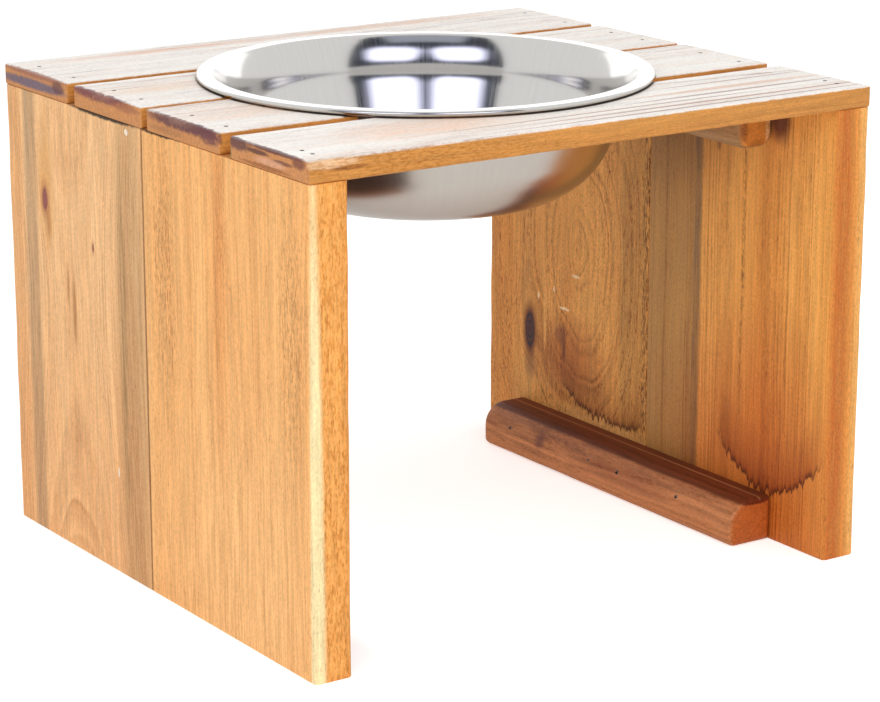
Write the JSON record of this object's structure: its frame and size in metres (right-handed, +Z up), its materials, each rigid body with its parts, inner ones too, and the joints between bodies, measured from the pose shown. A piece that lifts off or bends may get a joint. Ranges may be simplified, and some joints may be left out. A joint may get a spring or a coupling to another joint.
{
  "type": "raised pet feeding stand",
  "caption": "Wooden raised pet feeding stand with board sides, a slatted top, cleats inside the sides and a lift-out round steel bowl.",
  "frame": {"origin": "middle of the footprint, on the surface the stand rests on", "axes": "+X along the slats to the right as seen from the front, +Y to the rear, +Z up"},
  "size_m": [0.305, 0.279, 0.232],
  "materials": {
    "board_wood": "oiled, satin",
    "slat_wood": "wire-brushed and oiled, satin",
    "cleat_wood": "oiled, satin",
    "bowl_steel": "fine satin outside, polished inside",
    "nail_steel": "dull"
  },
  "bodies": {
    "stand": {"left_front_board": "board_wood", "left_rear_board": "board_wood", "right_front_board": "board_wood", "right_rear_board": "board_wood", "left_lower_cleat": "cleat_wood", "right_lower_cleat": "cleat_wood", "left_upper_cleat": "cleat_wood", "right_upper_cleat": "cleat_wood", "front_slat": "slat_wood", "front_middle_slat_left": "slat_wood", "front_middle_slat_right": "slat_wood", "rear_middle_slat_left": "slat_wood", "rear_middle_slat_right": "slat_wood", "rear_slat": "slat_wood", "left_slat_nails": "nail_steel", "right_slat_nails": "nail_steel", "left_lower_cleat_nails": "nail_steel", "right_lower_cleat_nails": "nail_steel", "left_upper_cleat_nails": "nail_steel", "right_upper_cleat_nails": "nail_steel"},
    "bowl": {"bowl": "bowl_steel"}
  },
  "joints": [
    {"name": "bowl_lift", "type": "slide", "parent": "stand", "child": "bowl", "axis": [0, 0, 1], "range_m": [0, 0.08]}
  ]
}
